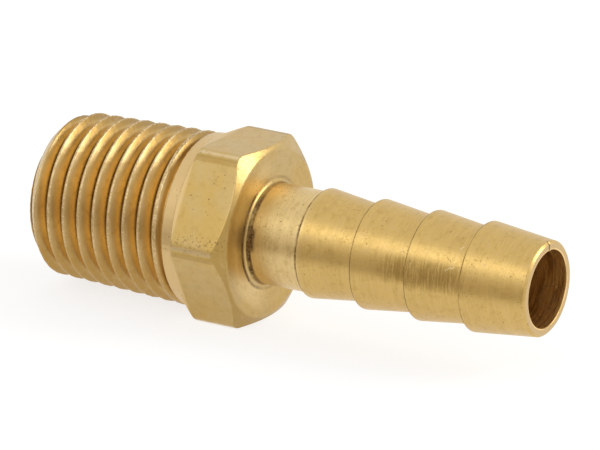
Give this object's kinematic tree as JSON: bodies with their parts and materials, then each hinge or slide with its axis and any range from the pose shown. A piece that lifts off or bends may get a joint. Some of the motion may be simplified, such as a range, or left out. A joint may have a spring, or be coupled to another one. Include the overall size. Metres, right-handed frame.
{
  "type": "hose barb tail",
  "caption": "Straight brass hose tail: tapered male pipe thread at one end, hexagon in the middle, ribbed barbs for a push-on hose at the other, bored right through.",
  "frame": {"origin": "on the axis, in the plane of the thread's end face", "axes": "+X along the axis from the thread's end to the barb's mouth, +Z square to the hexagon flat that is up; the flat opposite faces down, and the part lies on it"},
  "size_m": [0.0436, 0.016, 0.0142],
  "materials": {
    "brass": "as-turned satin brass"
  },
  "bodies": {
    "root": {"hose_tail": "brass"}
  },
  "joints": []
}
